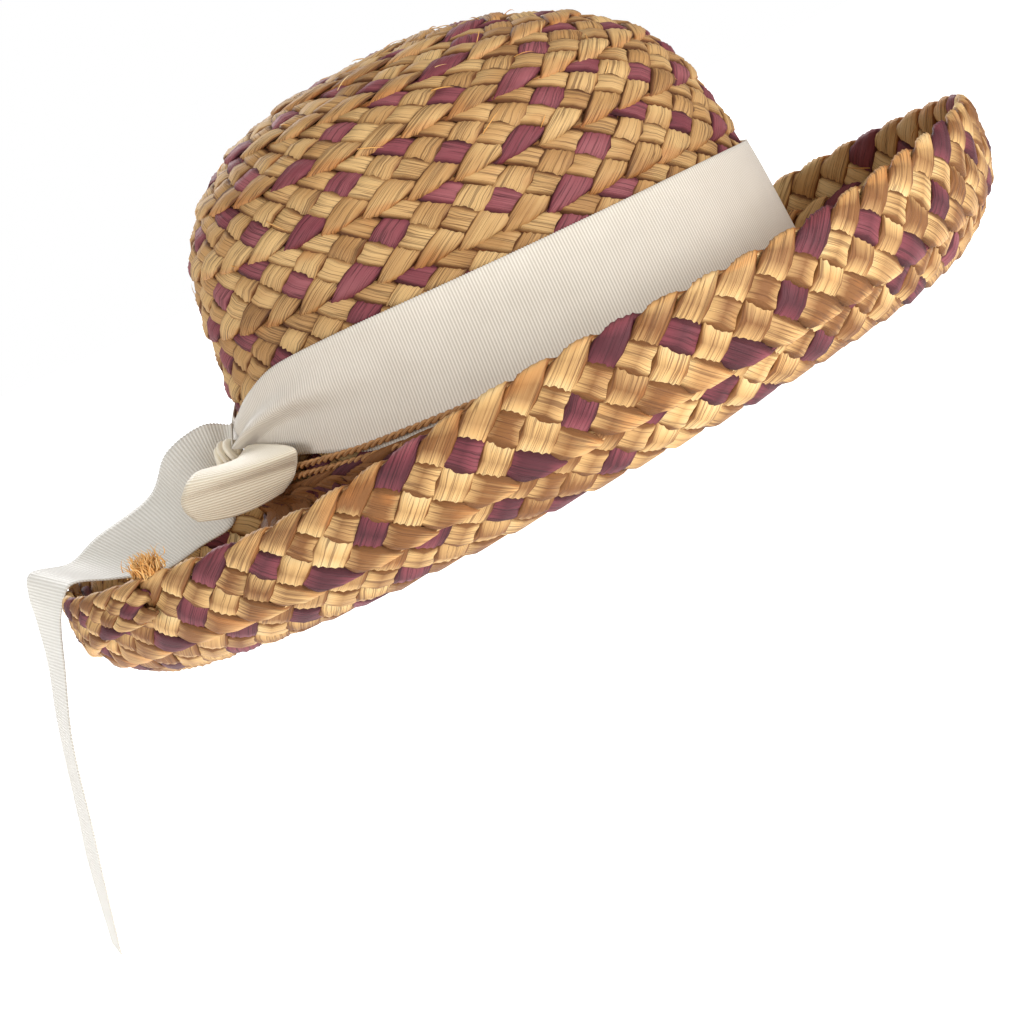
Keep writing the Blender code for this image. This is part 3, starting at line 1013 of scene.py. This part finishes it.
    def build(self, finish: bpy.types.Material, tail_lit_finish: bpy.types.Material) -> None:
        """Make the knot, the flap and the tail and dress them."""
        knot = mapped_grid("knot_wraps", *self.shape_knot())
        settle(knot, finish, "ribbon", "bow_knot")
        flap = self.ribbon.strip(
            "bow_flap_cloth", self.place_flap, self.flap_length, closed=False)
        settle(flap, finish, "ribbon", "bow_flap")
        tail = self.ribbon.strip(
            "ribbon_tail_cloth", self.place_tail, self.tail_length, closed=False)
        settle(tail, tail_lit_finish, "ribbon", "ribbon_tail")


@dataclass
class TwistedCords:
    """Two runs of two-ply cord round the foot of the band."""

    crown: CrownFace
    band: RibbonBand
    diameter: float = 0.0027
    pitch: float = 0.0062
    out: float = 0.0031
    ribbon_width: float = 0.046
    stations: int = 760
    plies: int = 2
    corners: int = 8
    runs: tuple = (
        (0, 0.315, 0.245), (35, 0.255, 0.185), (50, 0.215, 0.140), (70, 0.195, 0.095),
        (90, 0.180, 0.080), (135, 0.165, 0.070), (180, 0.160, 0.065),
    )

    def path(self, run: CordRun, around: np.ndarray) -> np.ndarray:
        """Middle of one run."""
        table = np.array(self.runs)
        away = np.abs((360 * around + 180) % 360 - 180)
        share = np.interp(away, table[:, 0], table[:, run.value])
        return self.crown.outside(360 * around + self.band.knot_angle,
                                  share * self.ribbon_width, np.full_like(around, self.out))

    def build(self, finish: bpy.types.Material) -> None:
        """Make both cords and dress them."""
        for run in CordRun:
            name = run.name.lower()
            around = np.linspace(0, 1, self.stations + 1)
            middle = self.path(run, around)
            walked = np.concatenate([[0.0], np.cumsum(
                np.linalg.norm(np.diff(middle, axis=0), axis=1))])
            twists = round(walked[-1] / self.pitch)
            ahead = np.roll(middle, -1, axis=0) - np.roll(middle, 1, axis=0)
            ahead[0] = ahead[-1] = middle[1] - middle[-2]
            ahead /= np.linalg.norm(ahead, axis=1, keepdims=True)
            side = np.cross(ahead, np.array([0.0, 0.0, 1.0]))
            side /= np.linalg.norm(side, axis=1, keepdims=True)
            above = np.cross(side, ahead)
            plies = []
            for ply in range(self.plies):
                phase = 2 * math.pi * twists * walked / walked[-1] + math.pi * ply
                swing = self.diameter / 4 * 0.92
                core = middle + swing * (np.cos(phase)[:, None] * side
                                         + np.sin(phase)[:, None] * above)
                radius = self.diameter / 4 * 1.12
                points, ring = rings(
                    core, radius, side[:, None, :], above[:, None, :], self.corners)
                pattern = np.stack(np.broadcast_arrays(
                    walked[:, None] + ply, ring[None, :] * radius), axis=-1)
                plies.append(mapped_grid(f"ply_{ply}", points, pattern))
            settle(join_pieces(f"cord_{name}_twist", plies), finish, "cord", f"cord_{name}")


@dataclass
class FrayedEnd:
    """The plait's cut end on the rim: a tuft of short strands."""

    brim: BrimFace
    angle: float = 216.5
    width: float = 0.015
    height: float = 0.008
    count: int = 210
    seed: int = 77

    def build(self, finish: bpy.types.Material) -> None:
        """Make the tuft and dress it."""
        chance = np.random.RandomState(self.seed)
        turn = math.radians(self.angle)
        seat = self.brim.raw(np.array(turn), np.array(1.0))
        out = np.array([math.sin(turn), -math.cos(turn), 0.0])
        side = np.array([-out[1], out[0], 0.0])
        strands = []
        for number in range(self.count):
            heading = chance.uniform(0, 2 * math.pi)
            flat = math.cos(heading) * side + math.sin(heading) * out
            lean = np.array([0, 0, 1.0]) + chance.uniform(-0.9, 0.9) * side
            lean = lean + chance.uniform(-0.5, 0.5) * out
            reach = chance.uniform(0.35, 1.05) * self.height
            root = seat + side * chance.uniform(-0.38, 0.38) * self.width
            root = root + out * chance.uniform(-0.003, 0.003)
            share = np.linspace(0, 1, 11)[:, None]
            bend = math.pi * (chance.uniform(0.7, 1.9) * share + chance.uniform(0, 2))
            sway = chance.uniform(0.0008, 0.0022)
            core = root + reach * share * lean + sway * (np.sin(bend) - np.sin(bend[0])) * flat
            core[:, 2] += sway * 0.5 * (np.cos(2 * bend[:, 0]) - np.cos(2 * bend[0, 0]))
            wide = chance.uniform(0.00018, 0.00046) * (1 - 0.8 * share ** 3)
            level = np.cross(flat, np.array([0, 0, 1.0]))
            points, ring = rings(core, wide[:, :, None], level, flat, 4)
            pattern = np.stack(np.broadcast_arrays(
                bend * 0.003 + number, ring[None, :] * 0.0006), axis=-1)
            tone_and_shade = np.full(points.shape[:2], 0.3 + 0.5 * chance.uniform())
            strands.append(mapped_grid(f"fray_{number}", points, pattern, {"tone_and_shade": tone_and_shade}))
        settle(join_pieces("frayed_end", strands), finish, "straw", "braid_tuft")


@dataclass
class StrayFibres:
    """Thin slivers of raffia that have come loose from the plait.

    Args:
        face: What they lie on.
        name: What the piece's name begins with; also the solid that it stands on.
        count: How many there are.
        first: Share of the face's rows where they begin.
        last: Share of the face's rows where they end.
        seed: Number that picks their places.
    """

    face: Surface
    name: str
    count: int
    first: float
    last: float
    seed: int = 5

    def build(self, finish: bpy.types.Material) -> None:
        """Make the slivers and dress them."""
        chance = np.random.RandomState(self.seed)
        along = np.linspace(0, 1, 6)
        slivers = []
        for number in range(self.count):
            turn = chance.uniform(0, 2 * math.pi)
            row = chance.uniform(self.first, self.last) * self.face.rows
            long = chance.uniform(0.005, 0.013)
            way = chance.choice([-1, 1]) * chance.uniform(0.3, 0.8)
            lift, wide = chance.uniform(0.0006, 0.0019), chance.uniform(0.00016, 0.0003)
            here, aside, below = (self.face.point(np.array(t), np.array(r)) for t, r in (
                (turn, row), (turn + 0.01, row), (turn, row - 0.05)))
            turns = turn + 0.01 * long * math.cos(way) * along / np.linalg.norm(aside - here)
            rows = row - 0.05 * long * math.sin(way) * along / np.linalg.norm(below - here)
            core = self.face.stand(turns, rows, -0.0008 + lift * np.sin(along * 2.2))
            over = self.face.stand(turns, rows, np.full(6, 0.01)) - self.face.point(turns, rows)
            over /= np.linalg.norm(over, axis=1, keepdims=True)
            ahead = np.gradient(core, axis=0)
            ahead /= np.linalg.norm(ahead, axis=1, keepdims=True)
            thin = (wide * (1 - along ** 3 * 0.9))[:, None, None]
            points, ring = rings(
                core, thin, np.cross(ahead, over)[:, None, :], over[:, None, :], 3)
            pattern = np.stack(np.broadcast_arrays(
                along[:, None] * long + number, ring[None, :] * wide), axis=-1)
            tone_and_shade = np.full(points.shape[:2], chance.uniform(0.2, 0.9))
            slivers.append(mapped_grid(f"sliver_{number}", points, pattern, {"tone_and_shade": tone_and_shade}))
        settle(join_pieces(f"{self.name}_stray_fibres", slivers), finish, "straw")


@dataclass
class Studio:
    """Camera, floor and light."""

    lens: float = 146.07
    distance: float = 1.5
    elevation: float = 2.8
    roll: float = 25.0
    anchor: tuple = (0.0, 0.0, 0.045)
    anchor_shift: tuple = (-25.3, 246.6)
    focal_pixels: float = 4155.0
    floor_drop: float = 0.22
    backdrop_light: float = 0.34
    floor_light: float = 0.86

    def place_camera(self) -> None:
        """Put the camera where the photograph was taken from."""
        lean, roll = math.radians(self.elevation), math.radians(self.roll)
        look = Vector((math.cos(lean), 0, -math.sin(lean)))
        right = look.cross(Vector((0, 0, 1))).normalized()
        above = right.cross(look)
        right, above = (math.cos(roll) * right - math.sin(roll) * above,
                        math.sin(roll) * right + math.cos(roll) * above)
        turn = Matrix((right, above, -look)).transposed()
        toward = Vector((self.anchor_shift[0] / self.focal_pixels,
                         self.anchor_shift[1] / self.focal_pixels, -1)).normalized()
        back = Vector((0, 0, -1)).rotation_difference(toward).to_matrix().transposed()
        data = bpy.data.cameras.new("camera")
        data.lens, data.sensor_width = self.lens, 36.0
        camera = bpy.data.objects.new("camera", data)
        bpy.context.scene.collection.objects.link(camera)
        camera.rotation_euler = (turn @ back).to_euler()
        camera.location = Vector(self.anchor) - self.distance * look
        bpy.context.scene.camera = camera

    def place_floor(self) -> None:
        """Lay a plain pale floor well below the hat."""
        bpy.ops.object.select_all(action="DESELECT")
        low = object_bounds()[0][2] - self.floor_drop
        bpy.ops.mesh.primitive_plane_add(size=30, location=(0, 0, low))
        floor = bpy.context.object
        floor.name = "floor"
        shader = Shader("floor_white")
        shader.surface.inputs["Base Color"].default_value = (0.93, 0.93, 0.93, 1)
        shader.surface.inputs["Roughness"].default_value = 0.9
        shader.surface.inputs["Emission Color"].default_value = (1, 1, 1, 1)
        seen = shader.math("MULTIPLY", shader.add("ShaderNodeLightPath").outputs[0], 0.4)
        glow = shader.math("ADD", seen, self.floor_light)
        shader.join(glow, shader.surface.inputs["Emission Strength"])
        floor.data.materials.append(shader.material)
        floor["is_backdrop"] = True

    def add_lamp(self, name: str, place: tuple, size: float, power: float) -> None:
        """Add a soft lamp that faces the hat."""
        data = bpy.data.lights.new(name, "AREA")
        data.shape, data.size, data.energy = "DISK", size, power
        lamp = bpy.data.objects.new(name, data)
        bpy.context.scene.collection.objects.link(lamp)
        lamp.location = place
        away = Vector(place) - Vector(self.anchor)
        lamp.rotation_euler = away.to_track_quat("Z", "Y").to_euler()

    def build(self) -> None:
        """Set up the studio."""
        self.place_camera()
        self.place_floor()
        world = bpy.data.worlds.new("studio")
        world.use_nodes = True
        tree = world.node_tree
        backdrop = tree.nodes["Background"]
        backdrop.inputs["Strength"].default_value = self.backdrop_light
        seen = tree.nodes.new("ShaderNodeBackground")
        seen.inputs["Color"].default_value = backdrop.inputs["Color"].default_value = (1, 1, 1, 1)
        ray, pick = tree.nodes.new("ShaderNodeLightPath"), tree.nodes.new("ShaderNodeMixShader")
        tree.links.new(ray.outputs["Is Camera Ray"], pick.inputs[0])
        tree.links.new(backdrop.outputs[0], pick.inputs[1])
        tree.links.new(seen.outputs[0], pick.inputs[2])
        tree.links.new(pick.outputs[0], tree.nodes["World Output"].inputs["Surface"])
        bpy.context.scene.world = world
        bpy.context.scene.view_settings.view_transform = "Standard"
        self.add_lamp("key", (-1.4, -1.5, 0.26), 0.8, 31)
        self.add_lamp("top", (-0.5, -0.3, 1.8), 0.7, 6)
        self.add_lamp("back", (-0.9, 1.5, 0.4), 0.9, 11)
        self.add_lamp("far", (1.3, 0.4, 0.9), 0.9, 14)


def main() -> None:
    """Build the hat piece by piece."""
    logging.basicConfig(level=logging.INFO, format="%(message)s")
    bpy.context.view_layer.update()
    crown_straw = RaffiaFinish(
        "raffia_crown", srgb(70, 38, 16), srgb(104, 62, 28), srgb(176, 132, 80),
        srgb(208, 170, 114), srgb(176, 104, 46)).build()
    # Painted light: the brim's raffia is a lighter copy of the crown's, standing in for the light
    # on the brim's outer face.
    brim_lit_straw = RaffiaFinish(
        "raffia_brim", srgb(88, 50, 22), srgb(128, 82, 40), srgb(206, 164, 106),
        srgb(232, 202, 146), srgb(198, 126, 62)).build()
    maroon = RaffiaFinish(
        "raffia_maroon", srgb(42, 12, 18), srgb(82, 32, 40), srgb(122, 56, 64),
        srgb(150, 84, 88), srgb(104, 38, 42)).build()
    frayed = RaffiaFinish(
        "raffia_frayed", srgb(150, 84, 30), srgb(196, 124, 54), srgb(234, 172, 94),
        srgb(248, 210, 144), srgb(206, 128, 56)).build()
    ribbon_finish, cord_finish = RibbonFinish().build(), CordFinish().build()
    # Painted light: the bow's ribbon is a lighter, warmer copy of the band's, standing in for
    # light bounced onto the knot and flap.
    bow_lit_finish = RibbonFinish("ribbon_bow", srgb(252, 243, 222), srgb(208, 190, 160)).build()

    crown, brim = CrownFace(), BrimFace()
    Studio().build()
    PlaitedFace("crown", "crown", Course(crown, 0.5, crown.rows - 0.54, 1.0, 1.0, 95.0),
                sink=-0.0024, tuck=0.0024, tilt=0.0008, cover=1.13, drawn_in=False,
                seed=11).build(crown_straw, maroon)
    PlaitedFace("brim", "brim", Course(brim, 0.38, brim.rows - 0.55, 1.0, 1.0, 217.0),
                sink=-0.0015, tuck=0.0024, tilt=0.0010, cover=1.11, drawn_in=True,
                seed=311, stain_and_shade=0.9).build(brim_lit_straw, maroon)
    ribbon = Ribbon()
    band = RibbonBand(crown, ribbon)
    band.build(ribbon_finish)
    # Painted light: the tail's ribbon is a paler, whiter copy of the band's, standing in for the
    # bright light on the hanging end.
    tail_lit_finish = RibbonFinish("ribbon_tail", srgb(234, 230, 221), srgb(194, 187, 174)).build()
    Bow(crown, brim, band, ribbon).build(bow_lit_finish, tail_lit_finish)
    TwistedCords(crown, band).build(cord_finish)
    FrayedEnd(brim).build(frayed)
    StrayFibres(crown, "crown", 44, 0.05, 0.6).build(frayed)
    StrayFibres(brim, "brim", 80, 0.5, 0.985).build(frayed)


if __name__ == "__main__":
    main()
